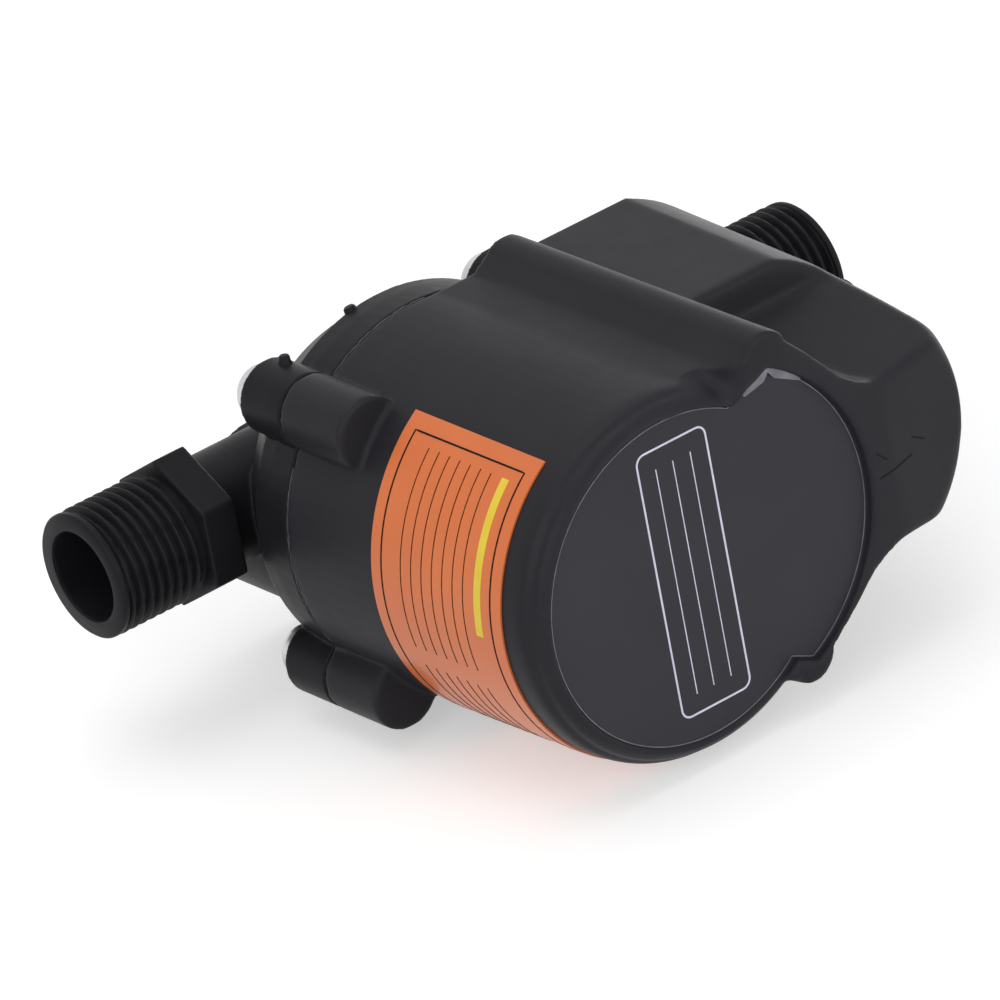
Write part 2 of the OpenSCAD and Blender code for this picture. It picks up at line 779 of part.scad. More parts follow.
module rotor_magnet() color([0.3, 0.3, 0.32]) pump_frame() {
    difference() {
        rod_y(magnet_r, magnet_start, magnet_start + magnet_len);
        rod_y(hub_r, magnet_start - cut, magnet_start + magnet_len + cut);
    }
}
module rotor_core() color([0.85, 0.85, 0.82]) pump_frame() {
    difference() {
        rod_y(hub_r, core_start - seat_gap, disc_start);
        rod_y(bush_r, core_start - cut, disc_start + cut);
    }
}
module bush(from) {
    difference() {
        rod_y(bush_r, from, from + bush_len);
        rod_y(shaft_r - seat_gap / 2 + run_gap, from - cut, from + bush_len + cut);
    }
}
module front_bush() color([0.25, 0.25, 0.27]) pump_frame() {
    bush(core_start - 2 * seat_gap);
}
module rear_bush() color([0.25, 0.25, 0.27]) pump_frame() {
    bush(disc_start - bush_len);
}

// A backward-curved blade as a strip along a spiral
module blade_outline() {
    from = hub_r + 1;
    to = impeller_r;
    function rib(i, side) = let (r = from + (to - from) * i / blade_steps, a = blade_turn * i / blade_steps)
        [r * cos(a) - side * blade_t / 2 * sin(a + blade_lead),
            r * sin(a) + side * blade_t / 2 * cos(a + blade_lead)];
    polygon(concat([for (i = [0 : blade_steps]) rib(i, -1)], [for (i = [blade_steps : -1 : 0]) rib(i, 1)]));
}
module impeller() color([0.25, 0.5, 0.75]) pump_frame() {
    difference() {
        union() {
            rod_y(impeller_r, disc_start, disc_start + disc_t);
            rod_y(hub_r, disc_start, disc_start + disc_t + blade_h / 2);
            prism(disc_start + disc_t - seat_gap, disc_start + disc_t + blade_h)
                for (i = [0 : blades - 1]) rotate(360 * i / blades) blade_outline();
        }
        rod_y(shaft_r + 3 * seat_gap, disc_start - cut, disc_start + disc_t + blade_h + cut);
    }
}
module impeller_shroud() color([0.3, 0.55, 0.8]) pump_frame() {
    from = disc_start + disc_t + blade_h;
    difference() {
        union() {
            rod_y(impeller_r, from, from + shroud_t);
            rod_y(eye_r + neck_t, from, chamber_front - 2 * washer_t);
        }
        rod_y(eye_r, from - cut, chamber_front + cut);
    }
}

motor_housing();
face_label();
side_label();
pump_cover();
cover_screws();
cover_seal();
rotor_can();
stator_core();
stator_insulators();
stator_coils();
rotor_shaft();
shaft_holder();
front_thrust_washer();
rear_thrust_washer();
hall_board();
control_board();
capacitors();
choke_coil();
power_transistors();
control_chip();
terminal_block();
flow_sensor();
box_lid();
lid_screws();
cable_gland();
float_cage();
flow_float();
float_magnet();
rotor_magnet();
rotor_core();
front_bush();
rear_bush();
impeller();
impeller_shroud();
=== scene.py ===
import json
import math

import bmesh
import bpy
from mathutils import Matrix, Vector


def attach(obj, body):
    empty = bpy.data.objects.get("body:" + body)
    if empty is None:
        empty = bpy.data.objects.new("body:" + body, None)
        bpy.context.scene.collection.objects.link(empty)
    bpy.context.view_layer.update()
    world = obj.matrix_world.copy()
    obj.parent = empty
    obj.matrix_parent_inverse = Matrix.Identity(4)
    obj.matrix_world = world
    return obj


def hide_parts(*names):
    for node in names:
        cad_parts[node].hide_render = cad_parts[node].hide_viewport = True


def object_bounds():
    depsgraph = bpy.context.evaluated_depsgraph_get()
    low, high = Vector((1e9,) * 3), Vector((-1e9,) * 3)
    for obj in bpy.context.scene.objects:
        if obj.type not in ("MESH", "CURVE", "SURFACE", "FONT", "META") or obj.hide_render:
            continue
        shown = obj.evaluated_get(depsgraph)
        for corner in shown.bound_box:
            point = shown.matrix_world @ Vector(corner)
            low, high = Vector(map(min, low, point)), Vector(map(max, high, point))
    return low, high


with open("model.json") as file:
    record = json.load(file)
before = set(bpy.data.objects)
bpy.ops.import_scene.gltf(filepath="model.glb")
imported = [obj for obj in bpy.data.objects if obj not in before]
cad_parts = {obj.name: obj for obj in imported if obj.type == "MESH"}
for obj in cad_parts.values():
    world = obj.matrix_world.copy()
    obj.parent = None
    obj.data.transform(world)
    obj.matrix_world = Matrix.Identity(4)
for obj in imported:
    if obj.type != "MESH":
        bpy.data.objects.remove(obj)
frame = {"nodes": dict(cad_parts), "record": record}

cad_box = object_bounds()

MM = 0.001
# The motor axis runs along Y through these lines of the row frame, and depth counts from the motor's face
AXIS_X = 52.3
FACE_Y = -85.2
SEAM = 60.0
INLET_DEPTH = 85.2
OUTLET_DEPTH = 71.0
OUTLET_REACH = 81.3
THREAD_LEN = 16.5
THREAD_CREST = 10.48
THREAD_ROOT = 9.3
THREAD_PITCH = 1.814
SLEEVE_BORE = 7.6
MOUTH_PROUD = 0.03
LUG_END = 71.0
SCREW_SEAT = 70.0
SCREW_OFF = 31.25 / math.sqrt(2)
SHELL_R = 31.0
SHELL_DRAFT = 1.2
FILM = 0.3
FACE_FILM_TOP = 1.68
CHAMBER_BACK = 98.5
# The shell's rolled front edge: its radius, and the distance of its middle from the motor axis
ROLL = 6.3
ROLL_MID = 23.5
# The groove round that edge: its place as a turn from straight outwards, its depth and its half width
GROOVE_TURN = 0.52
GROOVE_DEEP = 0.38
GROOVE_WIDE = 0.62


def at(x, depth, z):
    """A point given across, behind the face and up from the motor axis, in mm."""
    return Vector((x + AXIS_X, depth + FACE_Y, z)) * MM


# Camera
camera = bpy.data.objects.new("camera", bpy.data.cameras.new("camera"))
camera.data.sensor_width = 36.0
camera.data.lens = 385.17
camera.data.clip_start = 0.05
camera.data.clip_end = 30.0
camera.location = (-0.76862, -1.25514, 0.70612)
camera.rotation_euler = [math.radians(a) for a in (63.9143, 9.866, -38.7958)]
bpy.context.scene.collection.objects.link(camera)
bpy.context.scene.camera = camera
bpy.context.scene.view_settings.view_transform = "Standard"


# Materials
def surface(name, dark, light, rough, grain_mm=0.25, bump=0.05, patch_mm=14.0, metallic=0.0,
            rough_spread=0.06, coat=0.0, stretch=(1, 1, 1), wear=0.0, specular=0.5):
    """A material whose colour drifts between two tones in patches, with a fine grain in height and gloss."""
    mat = bpy.data.materials.new(name)
    mat.use_nodes = True
    nodes, links = mat.node_tree.nodes, mat.node_tree.links
    shader = nodes["Principled BSDF"]
    shader.inputs["Metallic"].default_value = metallic
    shader.inputs["Specular IOR Level"].default_value = specular
    shader.inputs["Coat Weight"].default_value = coat
    shader.inputs["Coat Roughness"].default_value = 0.12
    where = nodes.new("ShaderNodeTexCoord")
    scaled = nodes.new("ShaderNodeMapping")
    scaled.inputs["Scale"].default_value = stretch
    links.new(where.outputs["Object"], scaled.inputs["Vector"])

    def noise(size_mm, detail):
        node = nodes.new("ShaderNodeTexNoise")
        node.inputs["Scale"].default_value = 1.0 / (size_mm * MM)
        node.inputs["Detail"].default_value = detail
        links.new(scaled.outputs["Vector"], node.inputs["Vector"])
        return node.outputs["Fac"]

    patches = nodes.new("ShaderNodeValToRGB")
    patches.color_ramp.elements[0].position = 0.32
    patches.color_ramp.elements[1].position = 0.68
    patches.color_ramp.elements[0].color = (*dark, 1)
    patches.color_ramp.elements[1].color = (*light, 1)
    links.new(noise(patch_mm, 4.0), patches.inputs["Fac"])
    colour = patches.outputs["Color"]
    fine = noise(grain_mm, 3.0)
    if wear:
        worn = nodes.new("ShaderNodeMix")
        worn.data_type = "RGBA"
        edge = nodes.new("ShaderNodeMapRange")
        edge.inputs["From Min"].default_value = 0.56
        edge.inputs["From Max"].default_value = 0.72
        edge.inputs["To Max"].default_value = wear
        links.new(nodes.new("ShaderNodeNewGeometry").outputs["Pointiness"], edge.inputs["Value"])
        links.new(edge.outputs["Result"], worn.inputs["Factor"])
        links.new(colour, worn.inputs["A"])
        worn.inputs["B"].default_value = (*[min(1.0, 2.2 * c + 0.02) for c in light], 1)
        colour = worn.outputs["Result"]
    links.new(colour, shader.inputs["Base Color"])
    gloss = nodes.new("ShaderNodeMapRange")
    gloss.inputs["To Min"].default_value = rough - rough_spread
    gloss.inputs["To Max"].default_value = rough + rough_spread
    links.new(noise(patch_mm / 5, 5.0), gloss.inputs["Value"])
    links.new(gloss.outputs["Result"], shader.inputs["Roughness"])
    height = nodes.new("ShaderNodeBump")
    height.inputs["Strength"].default_value = 0.6
    height.inputs["Distance"].default_value = bump * MM
    links.new(fine, height.inputs["Height"])
    links.new(height.outputs["Normal"], shader.inputs["Normal"])
    return mat


def grey(value):
    return (value, value, value * 1.2)


MATERIALS = {
    "housing_plastic": surface("housing_plastic", grey(0.0195), grey(0.0245), 0.42, 0.3, 0.03, 18,
                               wear=0.12, specular=0.1),
    "cover_plastic": surface("cover_plastic", grey(0.0095), grey(0.0135), 0.42, 0.35, 0.035, 12,
                             wear=0.15, specular=0.09),
    "face_film": surface("face_film", grey(0.032), grey(0.038), 0.42, 0.12, 0.01, 30, specular=0.12),
    "side_film": surface("side_film", (0.7, 0.148, 0.022), (0.76, 0.172, 0.03), 0.36, 0.15, 0.01, 25,
                         coat=0.2),
    "stainless": surface("stainless", (0.52, 0.52, 0.53), (0.64, 0.64, 0.65), 0.3, 0.3, 0.004, 4, metallic=1.0),
    "seal_rubber": surface("seal_rubber", grey(0.012), grey(0.02), 0.7, 0.1, 0.03, 4),
    "can_plastic": surface("can_plastic", (0.52, 0.47, 0.35), (0.6, 0.55, 0.42), 0.42, 0.2, 0.03, 9),
    "lamination": surface("lamination", grey(0.26), grey(0.4), 0.42, 0.5, 0.12, 3, metallic=1.0,
                          stretch=(0.08, 4, 0.08)),
    "insulator_nylon": surface("insulator_nylon", (0.66, 0.62, 0.52), (0.74, 0.7, 0.6), 0.5, 0.2, 0.03, 8),
    "copper": surface("copper", (0.48, 0.16, 0.05), (0.66, 0.25, 0.09), 0.26, 0.5, 0.25, 3, metallic=1.0,
                      stretch=(3, 0.15, 3)),
    "ceramic_white": surface("ceramic_white", (0.72, 0.71, 0.67), (0.82, 0.81, 0.78), 0.22, 0.1, 0.01, 6),
    "holder_plastic": surface("holder_plastic", grey(0.03), grey(0.045), 0.46, 0.2, 0.03, 6),
    "board_green": surface("board_green", (0.012, 0.11, 0.035), (0.02, 0.17, 0.06), 0.32, 0.3, 0.02, 3,
                           coat=0.3),
    "sleeve_blue": surface("sleeve_blue", (0.012, 0.014, 0.05), (0.02, 0.024, 0.08), 0.35, 0.15, 0.02, 5),
    "chip_black": surface("chip_black", grey(0.012), grey(0.022), 0.55, 0.08, 0.04, 2),
    "terminal_white": surface("terminal_white", (0.66, 0.66, 0.6), (0.74, 0.74, 0.69), 0.42, 0.2, 0.03, 5),
    "gland_nylon": surface("gland_nylon", grey(0.006), grey(0.01), 0.46, 0.2, 0.04, 6, specular=0.2),
    "float_white": surface("float_white", (0.74, 0.74, 0.71), (0.8, 0.8, 0.78), 0.4, 0.15, 0.02, 5),
    "float_blue": surface("float_blue", (0.03, 0.13, 0.45), (0.045, 0.18, 0.55), 0.38, 0.15, 0.02, 5),
    "ferrite": surface("ferrite", grey(0.06), grey(0.1), 0.5, 0.12, 0.06, 3, metallic=0.3),
    "rotor_plastic": surface("rotor_plastic", (0.62, 0.62, 0.58), (0.7, 0.7, 0.67), 0.42, 0.2, 0.03, 6),
    "graphite": surface("graphite", grey(0.03), grey(0.055), 0.4, 0.08, 0.03, 2, metallic=0.4),
    "impeller_plastic": surface("impeller_plastic", (0.04, 0.17, 0.4), (0.06, 0.23, 0.5), 0.4, 0.2, 0.03, 7),
    # Pale grey for the seam flash: a painted highlight along the seam line
    "worn_plastic": surface("worn_plastic", grey(0.045), grey(0.11), 0.6, 0.1, 0.03, 2),
    "print_white": surface("print_white", grey(0.6), grey(0.72), 0.5, 0.1, 0.01, 4),
    "print_dark": surface("print_dark", (0.004, 0.003, 0.003), (0.012, 0.007, 0.006), 0.6, 0.1, 0.01, 4,
                          specular=0.1),
    "print_yellow": surface("print_yellow", (0.82, 0.6, 0.03), (0.86, 0.66, 0.05), 0.45, 0.1, 0.01, 4),
    # Pale grey for the lifted flap, and a painted highlight for the band round the face label's edge
    "film_edge": surface("film_edge", grey(0.1), grey(0.2), 0.3, 0.1, 0.02, 3),
}
SLOTS = {p["node"]: p["material_slot"] for p in frame["record"]["subparts"]}

for name, node in frame["nodes"].items():
    node.data.materials.clear()
    node.data.materials.append(MATERIALS[SLOTS[name]])


# Pieces
def piece(name, verts, faces, body, slot, material=None, node=None, sharp_deg=35.0):
    """A mesh piece that rides on a body, from points in metres."""
    mesh = bpy.data.meshes.new(name)
    mesh.from_pydata([tuple(v) for v in verts], [], faces)
    return place(name, mesh, body, slot, material, node, sharp_deg)


def place(name, mesh, body, slot, material=None, node=None, sharp_deg=35.0):
    work = bmesh.new()
    work.from_mesh(mesh)
    bmesh.ops.recalc_face_normals(work, faces=work.faces)
    work.to_mesh(mesh)
    work.free()
    mesh.materials.clear()
    mesh.materials.append(MATERIALS[material or slot])
    mesh.polygons.foreach_set("use_smooth", [True] * len(mesh.polygons))
    mesh.set_sharp_from_angle(angle=math.radians(sharp_deg))
    obj = bpy.data.objects.new(name, mesh)
    bpy.context.scene.collection.objects.link(obj)
    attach(obj, body)
    if node:
        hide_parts(node)
    return obj


def applied(mesh, modifiers, weight=None):
    """A mesh with modifiers applied, each given as its type and its settings."""
    obj = bpy.data.objects.new("working", mesh)
    bpy.context.scene.collection.objects.link(obj)
    if weight:
        group = obj.vertex_groups.new(name="soft")
        for v in mesh.vertices:
            share = weight(v.co.x / MM - AXIS_X, v.co.y / MM - FACE_Y, v.co.z / MM)
            if share > 0:
                group.add([v.index], share, "REPLACE")
    for kind, settings in modifiers:
        modifier = obj.modifiers.new(kind, kind)
        for key, value in settings.items():
            setattr(modifier, key, value)
    bpy.context.view_layer.update()
    done = bpy.data.meshes.new_from_object(obj.evaluated_get(bpy.context.evaluated_depsgraph_get()))
    bpy.data.objects.remove(obj)
    return done


def moulded(node, voxel_mm, passes, keep, shape=None, soft=None, soft_passes=32, carve=None):
    """The CAD node's mesh with its edges softened, most where soft(x, depth, z) is near 1.

    shape moves the node's own corners first, and carve moves the fine mesh near the front.
    """
    mesh = frame["nodes"][node].data.copy()
    if shape:
        for v in mesh.vertices:
            v.co = shape(v.co)
    voxel = voxel_mm * 1.0
    mesh = applied(mesh, [("REMESH", {"mode": "VOXEL", "voxel_size": voxel * MM, "use_smooth_shade": True})])
    if carve:
        for v in mesh.vertices:
            if v.co.y / MM - FACE_Y < ROLL:
                v.co = carve(v.co.x / MM - AXIS_X, v.co.y / MM - FACE_Y, v.co.z / MM)
    steps = [("SMOOTH", {"factor": 0.5, "iterations": passes})]
    if soft:
        steps.append(("SMOOTH", {"factor": 0.5, "iterations": soft_passes, "vertex_group": "soft"}))
    return applied(mesh, steps + [("DECIMATE", {"ratio": keep})], soft)


def ramp(value, start, end):
    share = min(1.0, max(0.0, (value - start) / (end - start)))
    return share * share * (3 - 2 * share)


def near_scoops(x, depth, z):
    """How much the mould rounds this place: the box's scoops and nose, but not the label's recess."""
    off = abs(z - 5.5)
    clear = max(ramp(depth, 3.5, 6.5), ramp(x, 37.0, 40.0))
    scoop = ramp(x, 19.5, 23.0) * ramp(off, 5.0, 8.0) * (1 - ramp(depth, 31.0, 37.0)) * clear
    foot = (1 - ramp(abs(x - 12.0), 3.0, 6.0)) * ramp(abs(z), 20.0, 24.0) * (1 - ramp(depth, 7.0, 11.0))
    return max(scoop, foot * ramp(math.hypot(x, z), 28.2, 29.2))


def front_edge(x, depth, z):
    """Carries the shell's rolled front edge on past the box's foot, and runs a shallow groove round it."""
    radius = math.hypot(x, z)
    share = 1 - ramp(x, 11.5, 14.5)
    across = radius - ROLL_MID
    if share > 0 and across > 1.5:
        roll = ROLL - math.sqrt(max(0.0, ROLL ** 2 - min(across, ROLL) ** 2))
        depth += max(0.0, roll - depth) * share
        reach = math.hypot(across, ROLL - depth)
        if abs(reach - ROLL) < 0.6:
            turn = math.atan2(ROLL - depth, across)
            dent = GROOVE_DEEP * share * math.exp(-((turn - GROOVE_TURN) * ROLL / GROOVE_WIDE) ** 2)
            radius_now = radius - dent * math.cos(turn)
            depth += dent * math.sin(turn)
            x, z = x * radius_now / radius, z * radius_now / radius
    return at(x, depth, z)


def for_cover(co):
    """Pulls the stubs' cylinders in to the thread's root, and the lugs' ends in by a millimetre."""
    x, y, z = co.x / MM, co.y / MM, co.z / MM
    out = co.copy()
    on_lug = abs(abs(x - AXIS_X) - SCREW_OFF) < 7.5 and abs(abs(z) - SCREW_OFF) < 6.1
    if on_lug and abs(y - FACE_Y - LUG_END) < 0.05:
        out.y = (FACE_Y + SCREW_SEAT) * MM
    for centre, start, end in ((0.0, -0.01, THREAD_LEN + 0.01),
                               (OUTLET_DEPTH - INLET_DEPTH, AXIS_X + OUTLET_REACH - THREAD_LEN - 0.01, 999.0)):
        radius = math.hypot(y - centre, z)
        if start <= x <= end and abs(radius - THREAD_CREST) < 0.05:
            share = (THREAD_ROOT - 0.2) / radius
            out.y = (centre + (y - centre) * share) * MM
            out.z = z * share * MM
    return out


place("housing_moulding", moulded("motor_housing", 0.42, 7, 0.45, soft=near_scoops, carve=front_edge),
      "pump", "housing_plastic", node="motor_housing", sharp_deg=70)
place("cover_moulding", moulded("pump_cover", 0.32, 3, 0.35, for_cover), "pump", "cover_plastic",
      node="pump_cover", sharp_deg=70)


def thread(name, mouth_x, centre_y, inward):
    """A helical thread round a port, from just inside its mouth to its hexagon."""
    around, steps = 96, 11
    length = THREAD_LEN - 0.1
    count = int(length / THREAD_PITCH * steps)
    verts, faces = [], []
    depth = THREAD_CREST - THREAD_ROOT
    for i in range(count + 1):
        s = length * i / count
        rise = min(1.0, max(0.0, (s - 0.9) / 0.8)) * min(1.0, max(0.0, (length - 0.9 - s) / 0.9))
        collar = (0.62 + 0.3 * min(1.0, s / 0.35)) * (1 - ramp(s, 1.0, 1.7))
        for j in range(around):
            angle = 2 * math.pi * j / around
            phase = (s / THREAD_PITCH - j / around) % 1.0
            ridge = max(0.0, 1.0 - abs(phase - 0.5) / 0.42)
            ridge = min(0.86, ridge) / 0.86
            ridge = ridge * ridge * (3 - 2 * ridge) * 0.5 + ridge * 0.5
            radius = THREAD_ROOT + depth * max(ridge * rise, collar)
            verts.append(Vector((mouth_x + inward * (s - MOUTH_PROUD), centre_y + radius * math.cos(angle),
                                 radius * math.sin(angle))) * MM)
    for i in range(count):
        for j in range(around):
            k = (j + 1) % around
            faces.append((i * around + j, i * around + k, (i + 1) * around + k, (i + 1) * around + j))
    base = len(verts)
    for s in (0.0, length):
        for j in range(around):
            angle = 2 * math.pi * j / around
            verts.append(Vector((mouth_x + inward * (s - MOUTH_PROUD), centre_y + SLEEVE_BORE * math.cos(angle),
                                 SLEEVE_BORE * math.sin(angle))) * MM)
    for j in range(around):
        k = (j + 1) % around
        faces.append((j, k, base + k, base + j))
        faces.append((count * around + j, count * around + k, base + around + k, base + around + j))
        faces.append((base + j, base + k, base + around + k, base + around + j))
    return piece(name, verts, faces, "pump", "cover_plastic", sharp_deg=50)


thread("inlet_thread", 0.0, 0.0, 1)
thread("outlet_thread", AXIS_X + OUTLET_REACH, OUTLET_DEPTH - INLET_DEPTH, -1)


def lathe(profile, place_at, turn, around=48):
    """Points and faces of a closed profile of radius and height, turned about +Z and then placed."""
    verts = [place_at + turn @ Vector((r * math.cos(2 * math.pi * j / around),
                                       r * math.sin(2 * math.pi * j / around), h)) * MM
             for j in range(around) for r, h in profile]
    n = len(profile)
    faces = [(j * n + i, j * n + (i + 1) % n, ((j + 1) % around) * n + (i + 1) % n, ((j + 1) % around) * n + i)
             for j in range(around) for i in range(n)]
    return verts, faces


def joined(parts):
    verts, faces = [], []
    for more_verts, more_faces in parts:
        base = len(verts)
        verts += more_verts
        faces += [tuple(base + i for i in face) for face in more_faces]
    return verts, faces


BACK = Matrix.Rotation(math.radians(-90), 3, "X")


def screw(place_at, head_r, head_h, shank_r, shank_len, recess):
    """A pan-head screw with a cross recess and a threaded shank, its head towards +Y."""
    edge = head_h * 0.4
    dome = [(head_r - edge + edge * math.cos(math.radians(a)), head_h - edge * (1 - math.sin(math.radians(a))))
            for a in range(0, 76, 15)]
    profile = [(0.001, -0.25), (head_r, -0.25), (head_r, head_h * 0.08)] + dome
    profile += [(head_r * 0.45, head_h * 1.03), (0.001, head_h * 1.05)]
    head = bpy.data.meshes.new("head")
    verts, faces = lathe(profile, place_at, BACK, 40)
    head.from_pydata([tuple(v) for v in verts], [], faces)
    work = bmesh.new()
    work.from_mesh(head)
    bmesh.ops.remove_doubles(work, verts=work.verts, dist=0.01 * MM)
    bmesh.ops.recalc_face_normals(work, faces=work.faces)
    work.to_mesh(head)
    work.free()
    cross = bmesh.new()
    for wide, high in ((recess, recess * 0.28), (recess * 0.28, recess)):
        cube = bmesh.ops.create_cube(cross, size=1.0)["verts"]
        for v in cube:
            taper = 0.55 if v.co.z < 0 else 1.0
            v.co = Vector((v.co.x * wide * taper * 2, v.co.y * high * taper * 2,
                           v.co.z * head_h * 1.1 + head_h)) * MM
            v.co = place_at + BACK @ v.co
    cutter_mesh = bpy.data.meshes.new("cutter")
    cross.to_mesh(cutter_mesh)
    cross.free()
    cutter = bpy.data.objects.new("cutter", cutter_mesh)
    bpy.context.scene.collection.objects.link(cutter)
    cut = applied(head, [("BOOLEAN", {"operation": "DIFFERENCE", "object": cutter, "solver": "EXACT",
                                      "use_self": True})])
    bpy.data.objects.remove(cutter)
    verts = [v.co.copy() for v in cut.vertices]
    faces = [tuple(p.vertices) for p in cut.polygons]
    turns = []
    steps = int(shank_len / 0.35)
    for i in range(steps + 1):
        turns.append((shank_r * (1.0 if i % 2 else 0.78) * min(1.0, (i + 1) / 4), -shank_len + i * 0.35))
    shank = lathe([(0.001, -shank_len - 0.1)] + turns + [(shank_r, 0.1), (0.001, 0.1)], place_at, BACK, 20)
    return joined([(verts, faces), shank])


parts = []
for side in (1, -1):
    across = SCREW_OFF + (1.4 if side < 0 else 0.0)
    parts += [screw(at(sx * across, SCREW_SEAT, side * SCREW_OFF), 4.35, 3.9, 1.75, 18.8, 1.25)
              for sx in (-1, 1)]
piece("cover_pan_screws", *joined(parts), "pump", "stainless", node="cover_screws", sharp_deg=30)
lid_parts = [screw(at(33.0, 58.75, 5.5 + side * 18.0), 2.5, 1.15, 1.15, 5.0, 0.7) for side in (1, -1)]
piece("lid_pan_screws", *joined(lid_parts), "pump", "stainless", node="lid_screws", sharp_deg=30)


# Cable gland: a collar, a ribbed strain relief and an open bore
def gland():
    toward = Matrix.Rotation(math.radians(90), 3, "Y")
    start = at(57.4, 44.0, 5.5)
    out = [(2.5, 2.4), (2.5, 12.0), (3.1, 12.0), (3.4, 11.7)]
    h = 11.7
    while h > 5.2:
        out += [(3.6 + (12 - h) * 0.1, h), (3.6 + (12 - h) * 0.1, h - 0.7), (3.0 + (12 - h) * 0.1, h - 0.8),
                (3.0 + (12 - h) * 0.1, h - 1.2)]
        h -= 1.3
    out += [(4.9, 4.6), (5.0, 4.4), (5.0, 2.8), (4.7, 2.5), (3.7, 2.5), (3.7, 0.0), (0.001, 0.0), (0.001, 2.4)]
    return lathe(out, start, toward, 48)


piece("ribbed_gland", *gland(), "pump", "gland_nylon", node="cable_gland", sharp_deg=40)

lid_mesh = applied(frame["nodes"]["box_lid"].data.copy(), [
    ("REMESH", {"mode": "VOXEL", "voxel_size": 0.25 * MM, "use_smooth_shade": True}),
    ("SMOOTH", {"factor": 0.5, "iterations": 3}), ("DECIMATE", {"ratio": 0.3})])
place("lid_moulding", lid_mesh, "pump", "housing_plastic", node="box_lid", sharp_deg=60)


# Gate marks left by the moulds
def stub(name, place_at, turn, radius, height, slot):
    profile = [(0.001, -1.0), (radius * 1.25, -1.0), (radius * 1.2, 0.0), (radius, height * 0.35),
               (radius * 0.92, height * 0.8), (radius * 0.7, height), (0.001, height * 0.9)]
    return piece(name, *lathe(profile, place_at, turn, 16), "pump", slot, sharp_deg=50)


def facing(direction):
    return Vector(direction).normalized().to_track_quat("Z", "Y").to_matrix()


stub("gate_mark_lug", at(-20.9, 66.2, 27.8), facing((0.1, 0.1, 1)), 0.95, 1.5, "cover_plastic")
stub("gate_mark_back", at(-8.15, CHAMBER_BACK, -9.48), facing((0, 1, 0)), 1.3, 0.45, "cover_plastic")
stub("gate_mark_rim", at(-5.2, 69.2, 28.7), facing((-0.15, 0.3, 1)), 1.1, 1.4, "cover_plastic")


def seam_flash():
    """The thin ragged line of plastic squeezed out at the seam, along part of it."""
    parts = []
    for start, end in ((152.0, 212.0), (232.0, 262.0), (86.0, 124.0)):
        count = int((end - start) / 1.5)
        verts, faces = [], []
        for i in range(count + 1):
            angle = math.radians(start + (end - start) * i / count)
            wobble = 0.5 + 0.5 * math.sin(i * 2.1) * math.cos(i * 0.73)
            high = 30.84 + 0.2 * wobble * min(1.0, i / 3, (count - i) / 3)
            for radius, depth in ((30.4, 59.93), (high, 59.95 + 0.03 * wobble),
                                  (high, 60.05 + 0.04 * wobble), (30.4, 60.07)):
                verts.append(at(radius * math.cos(angle), depth, radius * math.sin(angle)))
        for i in range(count):
            for j in range(4):
                k = (j + 1) % 4
                faces.append((4 * i + j, 4 * i + k, 4 * i + 4 + k, 4 * i + 4 + j))
        faces += [(0, 1, 2, 3), (4 * count, 4 * count + 1, 4 * count + 2, 4 * count + 3)]
        parts.append((verts, faces))
    return joined(parts)


# The flash is paler than the cover it comes from: a painted highlight along the seam
piece("seam_flash", *seam_flash(), "pump", "cover_plastic", "worn_plastic")


# Printed lines on the labels, a painted highlight round the face label's edge, and its lifted corner
def strip_loop(points, width, closed=True):
    """A flat band along points in a plane, as outer and inner edges; each point is (a, b)."""
    n = len(points)
    left, right = [], []
    for i, (a, b) in enumerate(points):
        before = points[i - 1] if closed or i else points[i]
        after = points[(i + 1) % n] if closed or i < n - 1 else points[i]
        da, db = after[0] - before[0], after[1] - before[1]
        size = math.hypot(da, db) or 1.0
        left.append((a - db / size * width / 2, b + da / size * width / 2))
        right.append((a + db / size * width / 2, b - da / size * width / 2))
    return left, right


def print_and_highlight_band(points, width, lift, closed=True, thick=0.05):
    """A thin band, for print and for a painted highlight, as a solid strip; lift maps (a, b, height) to the row
    frame.
    """
    left, right = strip_loop(points, width, closed)
    n = len(points)
    verts = [lift(a, b, h) for h in (-thick, thick) for edge in (left, right) for a, b in edge]
    faces = []
    for i in range(n if closed else n - 1):
        k = (i + 1) % n
        l0, r0, l1, r1 = i, n + i, 2 * n + i, 3 * n + i
        l0k, r0k, l1k, r1k = k, n + k, 2 * n + k, 3 * n + k
        faces += [(l1, r1, r1k, l1k), (l0, l0k, r0k, r0), (l0, l1, l1k, l0k), (r0, r0k, r1k, r1)]
    if not closed:
        for i in (0, n - 1):
            faces.append((i, n + i, 3 * n + i, 2 * n + i))
    return verts, faces


def rounded_box(a0, a1, b0, b1, radius, steps=6):
    points = []
    for ca, cb, start in ((a1 - radius, b1 - radius, 0), (a0 + radius, b1 - radius, 90),
                          (a0 + radius, b0 + radius, 180), (a1 - radius, b0 + radius, 270)):
        for i in range(steps + 1):
            angle = math.radians(start + 90 * i / steps)
            points.append((ca + radius * math.cos(angle), cb + radius * math.sin(angle)))
    return points


def on_face(a, b, h):
    return at(a, FACE_FILM_TOP - h, b)


def shell_radius(depth):
    """Distance of the side label's surface from the motor axis."""
    return SHELL_R - SHELL_DRAFT * (SEAM - depth) / (SEAM - ROLL) + FILM


def on_side(a, b, h):
    """a runs round the shell in degrees from +X towards +Z, b is the depth."""
    radius = shell_radius(b) + h
    return at(radius * math.cos(math.radians(a)), b, radius * math.sin(math.radians(a)))


face_lines = [print_and_highlight_band(rounded_box(-5.6, 7.7, -21.7, 22.5, 1.6), 0.32, on_face)]
for a in (-2.3, 1.0, 4.4):
    face_lines.append(print_and_highlight_band([(a, -18.6 + 37.9 * i / 12) for i in range(13)], 0.16, on_face, closed=False))
piece("face_label_print", *joined(face_lines), "pump", "face_film", "print_white")
